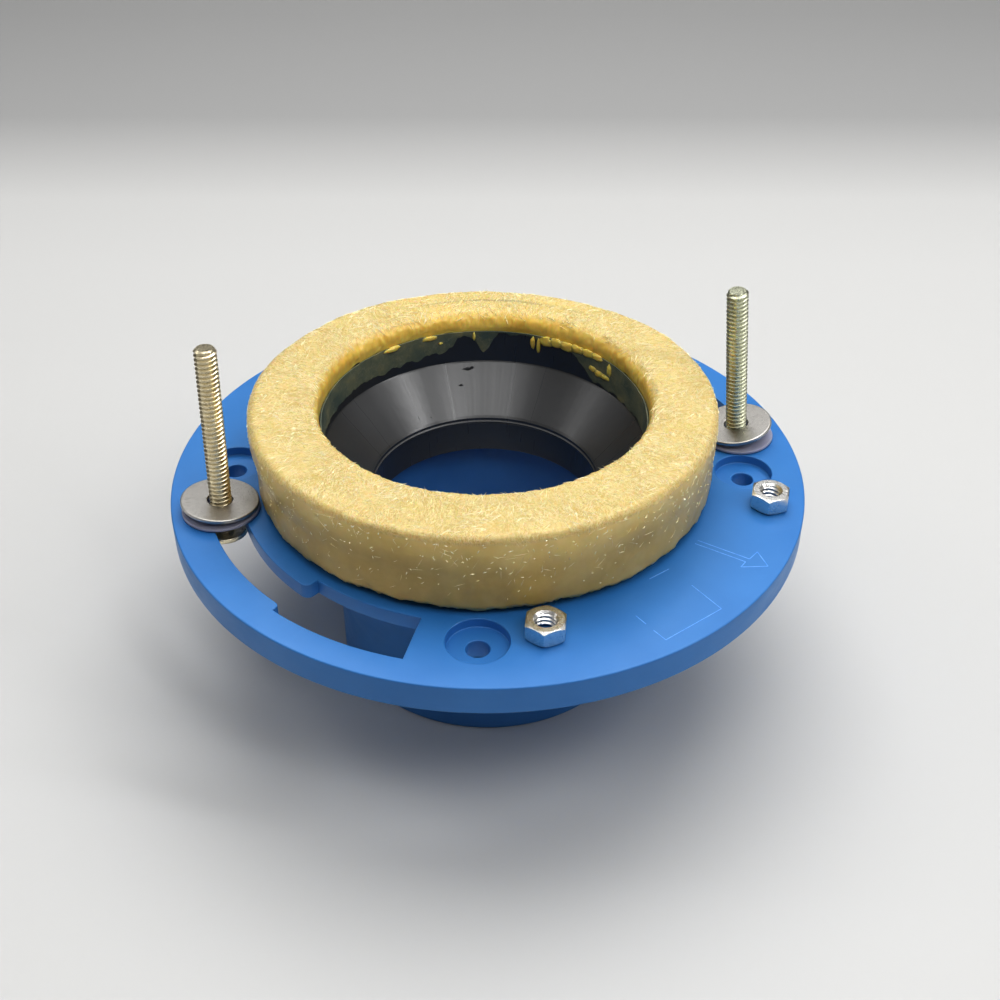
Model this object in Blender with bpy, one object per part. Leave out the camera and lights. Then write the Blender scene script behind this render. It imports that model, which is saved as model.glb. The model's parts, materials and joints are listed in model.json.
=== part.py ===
"""Toilet (closet) flange set, in metres, +Z up.

A one-piece plastic flange carries a wax ring seal with its plastic horn, two oval-headed
closet bolts that hang in the flange's keyhole slots, each with a plastic retainer and
a steel washer, and two hex nuts that lie loose on the plate.

The origin is the middle of the hub's lower rim, on which the flange stands, and the
drain runs along Z. Azimuths are in degrees, counter-clockwise from +X seen from above.
"""

import math

import bmesh
import bpy
from mathutils import Matrix, Vector

MM = 0.001
GAP = 0.3 * MM  # kept between pieces that touch on the real object
OVERLAP = 1.0 * MM  # how far shapes that are united run into each other
CUT_MARGIN = 5.0 * MM  # how far a cutter runs past the face that it cuts

# Flange: a plate with a turned-down skirt, on a spigot hub of 3-inch pipe size.
PLATE_RADIUS = 89.0 * MM
PLATE_TOP = 60.0 * MM
WEB_THICKNESS = 4.3 * MM
SKIRT_DEPTH = 8.3 * MM
SKIRT_WALL = 3.5 * MM
EDGE_CHAMFER = 0.5 * MM
HUB_RADIUS = 44.45 * MM
BORE_RADIUS = 39.0 * MM
LEAD_IN_RADIUS = 43.0 * MM
LEAD_IN_DEPTH = 4.0 * MM
RIB_THICKNESS = 2.4 * MM
RIB_RELIEF = 0.6 * MM  # from the skirt's lower rim up to a rib's edge
RIB_AZIMUTHS = [side + step for side in (105, 285) for step in (0, 17, 34, 51)]
FLANGE_STEPS = 96

# Keyhole slots: the left one starts at this azimuth, the right one is half a turn on.
SLOT_START = 188.5
SLOT_STEP = 228.9
SLOT_END = 255.8
SLOT_NARROW = (69.8 * MM, 78.7 * MM)
SLOT_WIDE = (66.0 * MM, 81.1 * MM)
SLOT_STEP_ROUNDS = (2.2 * MM, 1.6 * MM)  # at the step's inner and outer side
SLOT_ARC_STEP = 3.6  # degrees

# Screw holes, counterbored from above.
HOLE_PITCH_RADIUS = 72.5 * MM
HOLE_AZIMUTHS = (88.4, 178.4, 268.4, 358.4)
HOLE_RADIUS = 3.0 * MM
COUNTERBORE_RADIUS = 8.0 * MM
COUNTERBORE_DEPTH = 2.7 * MM
BOSS_RADIUS = 5.0 * MM
BOSS_RELIEF = 0.3 * MM  # from the skirt's lower rim up to a boss's end

# Wax ring and horn, which sit a little to the left of the drain's axis.
SEAL_X = -0.9 * MM
WAX_RADIUS = 63.7 * MM
WAX_HEIGHT = 25.0 * MM
WAX_TOP_ROUND = 4.0 * MM
WAX_LIP_RADIUS = 45.6 * MM
WAX_LIP_ROUND = 4.6 * MM
WAX_FOOT_RADIUS = 58.0 * MM
WAX_RELIEF = (1.5 * MM, 2.7 * MM)  # width and height of the rounded lower edge
HORN_WALL = 1.5 * MM
HORN_COLLAR_RADIUS = 45.3 * MM
HORN_COLLAR_WALL = 1.3 * MM
HORN_COLLAR_TOP = 18.0 * MM
HORN_CONE_TOP = 8.0 * MM
HORN_THROAT_RADIUS = 32.3 * MM
HORN_TAIL = 16.3 * MM
HORN_DISC_RADIUS = 57.0 * MM
SEAL_STEPS = 72

# Closet bolts: a flat oval head, and a shank with its thread's outer diameter. Heights
# are measured along the bolt from the plate's upper face.
BOLT_RADIUS = 3.0 * MM
BOLT_TOP = 48.7 * MM
BOLT_CHAMFER = 0.7 * MM
HEAD_TOP = -5.2 * MM
HEAD_THICKNESS = 1.5 * MM
HEAD_LENGTH = 15.0 * MM
HEAD_WIDTH = 13.0 * MM
ROUND_STEPS = 32

# Each side's stack. Leans are the slope of an axis in X and Y, in degrees.
STACKS = {
    "left": {
        "azimuth": 195.3,
        "radius": 75.4 * MM,
        "bolt_lean": (0.9, 5.1),
        "washer_lean": (5.2, 2.8),
        "washer_radius": 10.6 * MM,
        "washer_height": 2.95 * MM,
        "washer_shift": 0.2 * MM,
        "bolt_colour": (0.62, 0.52, 0.30),
    },
    "right": {
        "azimuth": 12.7,
        "radius": 74.8 * MM,
        "bolt_lean": (-5.6, -1.7),
        "washer_lean": (-10.9, -0.5),
        "washer_radius": 10.2 * MM,
        "washer_height": 3.85 * MM,
        "washer_shift": 0.0,
        "bolt_colour": (0.60, 0.61, 0.46),
    },
}
RETAINER_RADIUS = 10.6 * MM
RETAINER_THICKNESS = 0.8 * MM
RETAINER_HOLE = 3.3 * MM
RETAINER_COLLAR = (5.0 * MM, 0.4 * MM)  # radius, height above the disc
WASHER_HOLE = 3.4 * MM
WASHER_THICKNESS = 1.0 * MM

# Hex nuts, lying on the plate.
NUT_FLATS = 9.8 * MM
NUT_HEIGHT = 4.8 * MM
NUT_BORE = 2.6 * MM
NUTS = {
    "hex_nut_front": {"place": (14.5 * MM, -70.2 * MM), "turn": 24.0},
    "hex_nut_right": {"place": (77.3 * MM, -17.8 * MM), "turn": 17.0},
}


def clear_scene():
    for obj in list(bpy.data.objects):
        bpy.data.objects.remove(obj, do_unlink=True)


def material(name, colour, roughness, metallic=0.0):
    made = bpy.data.materials.new(name)
    made.use_nodes = True
    shader = made.node_tree.nodes["Principled BSDF"]
    shader.inputs["Base Color"].default_value = (*colour, 1.0)
    shader.inputs["Roughness"].default_value = roughness
    shader.inputs["Metallic"].default_value = metallic
    made.diffuse_color = (*colour, 1.0)
    return made


def polar(radius, azimuth):
    angle = math.radians(azimuth)
    return radius * math.cos(angle), radius * math.sin(angle)


def arc(centre, radius, start, end, steps):
    """Points on a circular arc between two angles in degrees, both ends included."""
    points = []
    for i in range(steps + 1):
        x, y = polar(radius, start + (end - start) * i / steps)
        points.append((centre[0] + x, centre[1] + y))
    return points


def lean_axis(lean):
    """Unit axis whose slopes in X and Y are the two angles of lean."""
    slopes = [math.tan(math.radians(angle)) for angle in lean]
    return Vector((slopes[0], slopes[1], 1.0)).normalized()


def lean_rotation(lean):
    return Vector((0, 0, 1)).rotation_difference(lean_axis(lean))


def add_turned(bm, profile, steps):
    """A ring: a closed outline of (radius, height) points turned about Z."""
    rings = []
    for radius, height in profile:
        ring = arc((0, 0), radius, 0, 360, steps)[:-1]
        rings.append([bm.verts.new((x, y, height)) for x, y in ring])
    for lower, upper in zip(rings, rings[1:] + rings[:1]):
        for i in range(steps):
            j = (i + 1) % steps
            bm.faces.new((lower[i], lower[j], upper[j], upper[i]))


def add_stepped_pin(bm, profile, steps=ROUND_STEPS):
    """A solid round pin: an open (radius, height) outline turned about Z, and capped."""
    rings = []
    for radius, height in profile:
        ring = arc((0, 0), radius, 0, 360, steps)[:-1]
        rings.append([bm.verts.new((x, y, height)) for x, y in ring])
    for lower, upper in zip(rings, rings[1:]):
        for i in range(steps):
            j = (i + 1) % steps
            bm.faces.new((lower[i], lower[j], upper[j], upper[i]))
    bm.faces.new(rings[0])
    bm.faces.new(rings[-1])


def add_prism(bm, outline, bottom, top):
    """An upright prism on a closed outline of (x, y) points."""
    lower = [bm.verts.new((x, y, bottom)) for x, y in outline]
    upper = [bm.verts.new((x, y, top)) for x, y in outline]
    bm.faces.new(lower)
    bm.faces.new(upper)
    for i in range(len(outline)):
        j = (i + 1) % len(outline)
        bm.faces.new((lower[i], lower[j], upper[j], upper[i]))


def make_object(name, bm, finish=None, location=(0, 0, 0), rotation=None, smooth=True):
    bmesh.ops.recalc_face_normals(bm, faces=bm.faces)
    mesh = bpy.data.meshes.new(name)
    bm.to_mesh(mesh)
    bm.free()
    if finish:
        mesh.materials.append(finish)
    if smooth:
        mesh.shade_smooth()
        mesh.set_sharp_from_angle(angle=math.radians(35))
    obj = bpy.data.objects.new(name, mesh)
    obj.location = location
    if rotation:
        obj.rotation_mode = "QUATERNION"
        obj.rotation_quaternion = rotation
    bpy.context.collection.objects.link(obj)
    return obj


def combine(obj, tool, operation):
    """Unites or cuts an object with a hidden helper object."""
    tool.hide_render = True
    tool.display_type = "WIRE"
    modifier = obj.modifiers.new(f"{operation.lower()} {tool.name}", "BOOLEAN")
    modifier.operation = operation
    modifier.object = tool
    modifier.solver = "EXACT"


def rounded(corners):
    """An outline with its corners filleted, from (x, y, fillet radius) corners."""
    outline = []
    for i, (x, y, radius) in enumerate(corners):
        here = Vector((x, y))
        if not radius:
            outline.append((x, y))
            continue
        before = (Vector(corners[i - 1][:2]) - here).normalized()
        after = (Vector(corners[(i + 1) % len(corners)][:2]) - here).normalized()
        half = before.angle(after) / 2
        centre = here + (before + after).normalized() * radius / math.sin(half)
        first = here + before * radius / math.tan(half) - centre
        last = here + after * radius / math.tan(half) - centre
        sweep = last.angle_signed(first)
        for k in range(4):
            turn = Matrix.Rotation(sweep * k / 3, 2)
            outline.append(tuple(centre + turn @ first))
    return outline


def slot_outline():
    """The left keyhole slot: a narrow arc with a round end, then a wide arc."""
    middle = sum(SLOT_NARROW) / 2
    end_radius = (SLOT_NARROW[1] - SLOT_NARROW[0]) / 2

    def along(radius, start, end):
        steps = round(abs(end - start) / SLOT_ARC_STEP)
        return [(x, y, 0) for x, y in arc((0, 0), radius, start, end, steps)]

    round_end = arc(polar(middle, SLOT_START), end_radius, SLOT_START + 180, SLOT_START + 360, 8)
    inner_round, outer_round = SLOT_STEP_ROUNDS
    corners = along(SLOT_NARROW[0], SLOT_STEP, SLOT_START)[:-1]
    corners += [(x, y, 0) for x, y in round_end]
    corners += along(SLOT_NARROW[1], SLOT_START, SLOT_STEP)[1:-1]
    corners.append((*polar(SLOT_NARROW[1], SLOT_STEP), outer_round))
    corners += along(SLOT_WIDE[1], SLOT_STEP, SLOT_END)
    corners += along(SLOT_WIDE[0], SLOT_END, SLOT_STEP)
    corners[0] = (corners[0][0], corners[0][1], inner_round)
    return rounded(corners)


def make_flange(finish):
    profile = [
        (LEAD_IN_RADIUS, PLATE_TOP),
        (BORE_RADIUS, PLATE_TOP - LEAD_IN_DEPTH),
        (BORE_RADIUS, 0),
        (HUB_RADIUS, 0),
        (HUB_RADIUS, PLATE_TOP - WEB_THICKNESS),
        (PLATE_RADIUS - SKIRT_WALL, PLATE_TOP - WEB_THICKNESS),
        (PLATE_RADIUS - SKIRT_WALL, PLATE_TOP - SKIRT_DEPTH),
        (PLATE_RADIUS, PLATE_TOP - SKIRT_DEPTH),
        (PLATE_RADIUS, PLATE_TOP - EDGE_CHAMFER),
        (PLATE_RADIUS - EDGE_CHAMFER, PLATE_TOP),
    ]
    bm = bmesh.new()
    add_turned(bm, profile, FLANGE_STEPS)
    flange = make_object("flange_body", bm, finish)

    rim = PLATE_TOP - SKIRT_DEPTH
    web_inside = PLATE_TOP - WEB_THICKNESS + OVERLAP
    half = RIB_THICKNESS / 2
    inner, outer = HUB_RADIUS - OVERLAP, PLATE_RADIUS - SKIRT_WALL + OVERLAP
    for azimuth in RIB_AZIMUTHS:
        bm = bmesh.new()
        corners = [(inner, -half), (outer, -half), (outer, half), (inner, half)]
        add_prism(bm, corners, rim + RIB_RELIEF, web_inside)
        rib = make_object(f"rib_{azimuth}", bm, smooth=False)
        rib.rotation_euler.z = math.radians(azimuth)
        combine(flange, rib, "UNION")

    for azimuth in HOLE_AZIMUTHS:
        bm = bmesh.new()
        add_stepped_pin(bm, [(BOSS_RADIUS, rim + BOSS_RELIEF), (BOSS_RADIUS, web_inside)])
        boss = make_object(f"screw_boss_{azimuth:.0f}", bm, smooth=False)
        boss.location = (*polar(HOLE_PITCH_RADIUS, azimuth), 0)
        combine(flange, boss, "UNION")

    for side, turn in (("left", 0), ("right", 180)):
        bm = bmesh.new()
        add_prism(bm, slot_outline(), rim - CUT_MARGIN, PLATE_TOP + CUT_MARGIN)
        cutter = make_object(f"slot_cutter_{side}", bm, smooth=False)
        cutter.rotation_euler.z = math.radians(turn)
        combine(flange, cutter, "DIFFERENCE")

    for azimuth in HOLE_AZIMUTHS:
        bm = bmesh.new()
        floor = PLATE_TOP - COUNTERBORE_DEPTH
        add_stepped_pin(
            bm,
            [
                (HOLE_RADIUS, rim - CUT_MARGIN),
                (HOLE_RADIUS, floor),
                (COUNTERBORE_RADIUS, floor),
                (COUNTERBORE_RADIUS, PLATE_TOP + CUT_MARGIN),
            ],
        )
        cutter = make_object(f"screw_hole_cutter_{azimuth:.0f}", bm, smooth=False)
        cutter.location = (*polar(HOLE_PITCH_RADIUS, azimuth), 0)
        combine(flange, cutter, "DIFFERENCE")
    return flange


def horn_outer_radius(height):
    """The outside of the horn's 45-degree cone, at a height above the plate."""
    cone_top = HORN_COLLAR_RADIUS + HORN_WALL * math.sqrt(2)
    return cone_top + height - HORN_CONE_TOP


def make_horn(finish):
    collar_outside = HORN_COLLAR_RADIUS + HORN_COLLAR_WALL
    cone_drop = HORN_COLLAR_RADIUS - HORN_THROAT_RADIUS
    tail_outside = HORN_THROAT_RADIUS + HORN_WALL
    tail_shoulder = HORN_CONE_TOP - (horn_outer_radius(HORN_CONE_TOP) - tail_outside)
    profile = [
        (HORN_COLLAR_RADIUS, HORN_COLLAR_TOP),
        (HORN_COLLAR_RADIUS, HORN_CONE_TOP),
        (HORN_THROAT_RADIUS, HORN_CONE_TOP - cone_drop),
        (HORN_THROAT_RADIUS, -HORN_TAIL),
        (tail_outside, -HORN_TAIL),
        (tail_outside, tail_shoulder),
        (horn_outer_radius(HORN_CONE_TOP), HORN_CONE_TOP),
        (HORN_DISC_RADIUS, HORN_CONE_TOP),
        (HORN_DISC_RADIUS, HORN_CONE_TOP + HORN_WALL),
        (collar_outside, HORN_CONE_TOP + HORN_WALL),
        (collar_outside, HORN_COLLAR_TOP),
    ]
    bm = bmesh.new()
    add_turned(bm, profile, SEAL_STEPS)
    return make_object("horn_sleeve", bm, finish, location=(SEAL_X, 0, PLATE_TOP))


def make_wax_ring(finish):
    """The wax wraps the horn's disc, so its outline has a groove on the inner side."""
    cone_gap = GAP * math.sqrt(2)
    collar = HORN_COLLAR_RADIUS + HORN_COLLAR_WALL + GAP
    relief_width, relief_height = WAX_RELIEF
    groove_low, groove_high = HORN_CONE_TOP - GAP, HORN_CONE_TOP + HORN_WALL + GAP
    outer_centre = (WAX_RADIUS - WAX_TOP_ROUND, WAX_HEIGHT - WAX_TOP_ROUND)
    lip_centre = (WAX_LIP_RADIUS + WAX_LIP_ROUND, WAX_HEIGHT - WAX_LIP_ROUND)
    profile = [
        (horn_outer_radius(GAP) + cone_gap, GAP),
        (WAX_FOOT_RADIUS, GAP),
        (WAX_RADIUS - relief_width, GAP + relief_height / 2),
        (WAX_RADIUS, GAP + relief_height),
    ]
    profile += arc(outer_centre, WAX_TOP_ROUND, 0, 90, 5)
    profile += arc(lip_centre, WAX_LIP_ROUND, 90, 180, 5)
    profile += [
        (WAX_LIP_RADIUS, HORN_COLLAR_TOP + GAP),
        (collar, HORN_COLLAR_TOP + GAP),
        (collar, groove_high),
        (HORN_DISC_RADIUS + GAP, groove_high),
        (HORN_DISC_RADIUS + GAP, groove_low),
        (horn_outer_radius(groove_low) + cone_gap, groove_low),
    ]
    bm = bmesh.new()
    add_turned(bm, profile, SEAL_STEPS)
    return make_object("wax_ring", bm, finish, location=(SEAL_X, 0, PLATE_TOP))


def head_outline():
    """The head seen from above: an oval with straight sides, long along the slot."""
    radius = HEAD_WIDTH / 2
    reach = HEAD_LENGTH / 2 - radius
    return arc((0, reach), radius, 0, 180, 12) + arc((0, -reach), radius, 180, 360, 12)


def make_bolt(side, stack, finish):
    """A closet bolt; its own origin is where its axis meets the plate's upper face."""
    bm = bmesh.new()
    tip = BOLT_RADIUS - BOLT_CHAMFER
    profile = [
        (BOLT_RADIUS, HEAD_TOP - OVERLAP),
        (BOLT_RADIUS, BOLT_TOP - BOLT_CHAMFER),
        (tip, BOLT_TOP),
    ]
    add_stepped_pin(bm, profile)
    rotation = lean_rotation(stack["bolt_lean"])
    heading = Matrix.Rotation(math.radians(stack["azimuth"]), 3, "Z").to_quaternion()
    foot = Vector((*polar(stack["radius"], stack["azimuth"]), PLATE_TOP))
    bolt = make_object(f"closet_bolt_{side}", bm, finish, foot, rotation @ heading)

    bm = bmesh.new()
    add_prism(bm, head_outline(), HEAD_TOP - HEAD_THICKNESS, HEAD_TOP)
    head = make_object(f"bolt_head_{side}", bm, smooth=False)
    head.parent = bolt
    combine(bolt, head, "UNION")

    pivot = bpy.data.objects.new(f"slot_pivot_{side}", None)
    bpy.context.collection.objects.link(pivot)
    bolt.parent = pivot
    return bolt


def stack_place(stack, height, shift=0.0):
    """A point on a bolt's axis at a height above the plate, moved outwards by a shift."""
    axis = lean_axis(stack["bolt_lean"])
    foot = Vector((*polar(stack["radius"], stack["azimuth"]), PLATE_TOP))
    outwards = Vector((*polar(shift, stack["azimuth"]), 0))
    return foot + axis * (height / axis.z) + outwards


def make_retainer(side, stack, finish):
    collar_radius, collar_height = RETAINER_COLLAR
    profile = [
        (RETAINER_HOLE, 0),
        (RETAINER_RADIUS, 0),
        (RETAINER_RADIUS, RETAINER_THICKNESS),
        (collar_radius, RETAINER_THICKNESS),
        (collar_radius, RETAINER_THICKNESS + collar_height),
        (RETAINER_HOLE, RETAINER_THICKNESS + collar_height),
    ]
    bm = bmesh.new()
    add_turned(bm, profile, ROUND_STEPS)
    place = stack_place(stack, GAP, stack["washer_shift"] / 2)
    return make_object(f"bolt_retainer_{side}", bm, finish, place)


def make_washer(side, stack, finish):
    half = WASHER_THICKNESS / 2
    radius = stack["washer_radius"]
    profile = [(WASHER_HOLE, -half), (radius, -half), (radius, half), (WASHER_HOLE, half)]
    bm = bmesh.new()
    add_turned(bm, profile, ROUND_STEPS)
    place = stack_place(stack, stack["washer_height"], stack["washer_shift"])
    rotation = lean_rotation(stack["washer_lean"])
    return make_object(f"steel_washer_{side}", bm, finish, place, rotation)


def make_nut(name, nut, finish):
    bm = bmesh.new()
    corner_radius = NUT_FLATS / 2 / math.cos(math.pi / 6)
    outline = arc((0, 0), corner_radius, nut["turn"], nut["turn"] + 360, 6)[:-1]
    add_prism(bm, outline, 0, NUT_HEIGHT)
    place = (*nut["place"], PLATE_TOP + GAP)
    made = make_object(name, bm, finish, place, smooth=False)

    bm = bmesh.new()
    add_stepped_pin(bm, [(NUT_BORE, -CUT_MARGIN), (NUT_BORE, NUT_HEIGHT + CUT_MARGIN)])
    cutter = make_object(f"bore_cutter_{name}", bm, smooth=False)
    cutter.parent = made
    combine(made, cutter, "DIFFERENCE")
    return made


def keep_place_under(child, parent):
    """Parents an object without moving it."""
    child.parent = parent
    child.matrix_parent_inverse = parent.matrix_world.inverted()


def main():
    clear_scene()
    make_flange(material("blue_plastic", (0.075, 0.27, 0.74), 0.35))
    seal = bpy.data.objects.new("seal_lift", None)
    bpy.context.collection.objects.link(seal)
    make_wax_ring(material("wax", (0.72, 0.55, 0.19), 0.45)).parent = seal
    make_horn(material("black_plastic", (0.02, 0.02, 0.022), 0.35)).parent = seal
    clear_plastic = material("clear_plastic", (0.55, 0.62, 0.70), 0.4)
    steel = material("steel", (0.62, 0.60, 0.57), 0.3, 1.0)
    for side, stack in STACKS.items():
        plating = material(f"bolt_plating_{side}", stack["bolt_colour"], 0.32, 1.0)
        bolt = make_bolt(side, stack, plating)
        retainer = make_retainer(side, stack, clear_plastic)
        washer = make_washer(side, stack, steel)
        bpy.context.view_layer.update()
        keep_place_under(retainer, bolt)
        keep_place_under(washer, bolt)
    zinc = material("zinc", (0.70, 0.71, 0.70), 0.28, 1.0)
    for name, nut in NUTS.items():
        make_nut(name, nut, zinc)


main()
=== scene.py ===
"""The looks of the toilet flange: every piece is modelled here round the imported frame.

Metres, +Z up, in the frame's own axes. Heights named "above the plate" count from the
flange's upper face. Azimuths are degrees, counter-clockwise from +X seen from above.
"""

import json
import math
import random

import bmesh
import bpy
import numpy as np
from mathutils import Matrix, Vector, noise
from mathutils.bvhtree import BVHTree


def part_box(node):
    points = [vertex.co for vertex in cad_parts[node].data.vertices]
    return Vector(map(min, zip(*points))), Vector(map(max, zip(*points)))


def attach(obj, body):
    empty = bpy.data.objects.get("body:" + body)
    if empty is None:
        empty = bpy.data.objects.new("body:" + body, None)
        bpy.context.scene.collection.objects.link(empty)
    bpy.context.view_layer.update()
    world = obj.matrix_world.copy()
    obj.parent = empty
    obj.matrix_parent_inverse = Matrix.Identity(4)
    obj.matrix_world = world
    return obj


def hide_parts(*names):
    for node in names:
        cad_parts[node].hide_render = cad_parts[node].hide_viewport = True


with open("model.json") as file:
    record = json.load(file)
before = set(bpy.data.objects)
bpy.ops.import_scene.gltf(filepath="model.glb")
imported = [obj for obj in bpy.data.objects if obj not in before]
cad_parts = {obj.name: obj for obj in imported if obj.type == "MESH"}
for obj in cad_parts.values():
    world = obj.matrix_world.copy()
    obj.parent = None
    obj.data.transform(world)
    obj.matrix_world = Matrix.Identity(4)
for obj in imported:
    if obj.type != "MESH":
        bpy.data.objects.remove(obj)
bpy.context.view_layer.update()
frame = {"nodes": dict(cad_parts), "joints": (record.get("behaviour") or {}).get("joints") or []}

MM = 0.001
TAU = 2 * math.pi

# Places and sizes read from the frame.
FLANGE_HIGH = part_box("flange_body")[1]
PLATE_TOP = FLANGE_HIGH.z
PLATE_RADIUS = FLANGE_HIGH.x
WAX_LOW, WAX_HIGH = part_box("wax_ring")
SEAL_CENTRE = Vector(((WAX_LOW.x + WAX_HIGH.x) / 2, (WAX_LOW.y + WAX_HIGH.y) / 2, PLATE_TOP))
WAX_TOP = WAX_HIGH.z - PLATE_TOP
BOLT_AXES = {
    joint["child"].split("_")[1]: Vector(joint["axis"]).normalized()
    for joint in frame["joints"]
    if joint["name"].startswith("retainer")
}

# Flange, heights above the hub's lower rim.
WEB_THICKNESS = 4.3 * MM
SKIRT_DEPTH = 8.3 * MM
SKIRT_WALL = 3.5 * MM
HUB_RADIUS = 44.45 * MM
BORE_RADIUS = 39.0 * MM
LEAD_IN_RADIUS = 43.0 * MM
LEAD_IN_DEPTH = 4.0 * MM
RIB_THICKNESS = 2.4 * MM
RIB_AZIMUTHS = [side + step for side in (105, 285) for step in (0, 17, 34, 51)]
RIB_TAPER = 0.7
EDGE_ROUND = 0.45 * MM
RIM_ROUND = 0.35 * MM
SLOT_START, SLOT_STEP, SLOT_END = 188.5, 228.9, 255.8
SLOT_NARROW = (69.8 * MM, 78.7 * MM)
SLOT_WIDE = (66.0 * MM, 81.1 * MM)
HOLE_PITCH_RADIUS = 72.5 * MM
HOLE_AZIMUTHS = (88.4, 178.4, 268.4, 358.4)
HOLE_RADIUS = 3.0 * MM
COUNTERBORE_RADIUS = 8.0 * MM
COUNTERBORE_DEPTH = 2.7 * MM
BOSS_RADIUS = 5.0 * MM
BOSS_RELIEF = 0.3 * MM

# Horn, heights above the plate.
HORN_WALL = 1.5 * MM
COLLAR_RADIUS = 45.3 * MM
COLLAR_TOP = 18.0 * MM
CONE_TOP = 8.0 * MM
THROAT_RADIUS = 32.3 * MM
TAIL = 16.3 * MM
DISC_RADIUS = 57.0 * MM

# Fasteners.
BOLT_RADIUS = 3.0 * MM
THREAD_PITCH = 1.27 * MM
THREAD_ROOT = 2.36 * MM
HEAD_LENGTH, HEAD_WIDTH, HEAD_THICKNESS = 15 * MM, 13 * MM, 1.5 * MM
HEAD_TOP = -5.2 * MM
HEAD_ROUND_BELOW, HEAD_ROUND_ABOVE = 0.5 * MM, 0.4 * MM
NECK_RADIUS = 2.8 * MM
WASHER_HOLE = 3.4 * MM
WASHER_THICKNESS = 1.0 * MM
RETAINER_HOLE = 3.3 * MM
RETAINER_THICKNESS = 0.8 * MM
SLEEVE_RADIUS = 5.0 * MM
NUT_FLATS = 9.8 * MM
NUT_HEIGHT = 4.8 * MM
NUT_BORE, NUT_GROOVE = 2.55 * MM, 3.05 * MM
NUT_CHAMFER, NUT_MOUTH = 0.75 * MM, 3.25 * MM


# ---------------------------------------------------------------- outlines

def polar(radius, azimuth):
    angle = math.radians(azimuth)
    return radius * math.cos(angle), radius * math.sin(angle)


def outwards(azimuth):
    return Vector((*polar(1, azimuth), 0))


def arc(centre, radius, start, end, steps):
    """Points on a circular arc between two angles in degrees, both ends included."""
    points = []
    for i in range(steps + 1):
        x, y = polar(radius, start + (end - start) * i / steps)
        points.append((centre[0] + x, centre[1] + y))
    return points


def rounded(corners, segments=4):
    """An outline with its corners filleted, from (x, y, fillet radius) corners."""
    outline = []
    for i, (x, y, radius) in enumerate(corners):
        here = Vector((x, y))
        if not radius:
            outline.append((x, y))
            continue
        before = (Vector(corners[i - 1][:2]) - here).normalized()
        after = (Vector(corners[(i + 1) % len(corners)][:2]) - here).normalized()
        half = before.angle(after) / 2
        centre = here + (before + after).normalized() * radius / math.sin(half)
        first = here + before * radius / math.tan(half) - centre
        last = here + after * radius / math.tan(half) - centre
        sweep = last.angle_signed(first)
        for k in range(segments + 1):
            turn = Matrix.Rotation(sweep * k / segments, 2)
            outline.append(tuple(centre + turn @ first))
    return outline


def offset(outline, distance):
    """A closed outline moved outwards; it runs counter-clockwise."""
    moved = []
    count = len(outline)
    for i in range(count):
        here = Vector(outline[i])
        before = (here - Vector(outline[i - 1])).normalized()
        after = (Vector(outline[(i + 1) % count]) - here).normalized()
        normals = [Vector((edge.y, -edge.x)) for edge in (before, after)]
        mitre = (normals[0] + normals[1]).normalized()
        moved.append(tuple(here + mitre * distance / max(0.4, mitre.dot(normals[0]))))
    return moved


# ---------------------------------------------------------------- mesh helpers

def finish_shading(obj, sharp=32, weighted=True):
    """Smooth shading with crisp edges, weighted so that flat faces stay flat."""
    obj.data.shade_smooth()
    obj.data.set_sharp_from_angle(angle=math.radians(sharp))
    if weighted:
        modifier = obj.modifiers.new("face weighted shading", "WEIGHTED_NORMAL")
        modifier.keep_sharp = True


def new_piece(name, bm, material=None, sharp=32, weighted=True):
    """Makes an object of a bmesh, smooth shaded with sharp edges above an angle."""
    bmesh.ops.recalc_face_normals(bm, faces=bm.faces)
    mesh = bpy.data.meshes.new(name)
    bm.to_mesh(mesh)
    bm.free()
    if material:
        mesh.materials.append(material)
    obj = bpy.data.objects.new(name, mesh)
    bpy.context.scene.collection.objects.link(obj)
    finish_shading(obj, sharp, weighted)
    return obj


def add_skin(bm, rings, closed=False):
    """Faces between neighbouring rings of equal count, and a cap on each end if open."""
    count = len(rings[0])
    pairs = list(zip(rings, rings[1:]))
    if closed:
        pairs.append((rings[-1], rings[0]))
    for lower, upper in pairs:
        for i in range(count):
            j = (i + 1) % count
            bm.faces.new((lower[i], lower[j], upper[j], upper[i]))
    if not closed:
        bm.faces.new(rings[0])
        bm.faces.new(rings[-1])


def turned(profile, steps, closed=True, centre=(0, 0, 0)):
    """A (radius, height) outline turned about Z: a ring, or a capped solid if open."""
    bm = bmesh.new()
    rings = []
    for radius, height in profile:
        ring = arc(centre[:2], radius, 0, 360, steps)[:-1]
        rings.append([bm.verts.new((x, y, height + centre[2])) for x, y in ring])
    add_skin(bm, rings, closed)
    return bm


def lofted(levels):
    """A capped solid through closed outlines of equal count: (outline, height) levels."""
    bm = bmesh.new()
    add_skin(bm, [[bm.verts.new((x, y, z)) for x, y in outline] for outline, z in levels])
    return bm


def carve(obj, steps):
    """Applies Boolean steps of (operation, bmesh) to an object and drops the tools."""
    tools = []
    for i, (operation, bm) in enumerate(steps):
        tool = new_piece(f"{obj.name}_tool_{i}", bm, weighted=False)
        modifier = obj.modifiers.new(f"step {i}", "BOOLEAN")
        modifier.operation = operation
        modifier.object = tool
        tools.append(tool)
    bpy.context.view_layer.update()
    graph = bpy.context.evaluated_depsgraph_get()
    result = bpy.data.meshes.new_from_object(obj.evaluated_get(graph))
    materials = list(obj.data.materials)
    old = obj.data
    obj.modifiers.clear()
    obj.data = result
    result.name = obj.name
    result.materials.clear()
    for material in materials:
        result.materials.append(material)
    bpy.data.meshes.remove(old)
    for tool in tools:
        bpy.data.meshes.remove(tool.data)


def settle(obj, body, node=None):
    """Hangs a finished piece on its body, in place of a CAD node where one is given."""
    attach(obj, body)
    if node:
        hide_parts(node)


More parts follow.
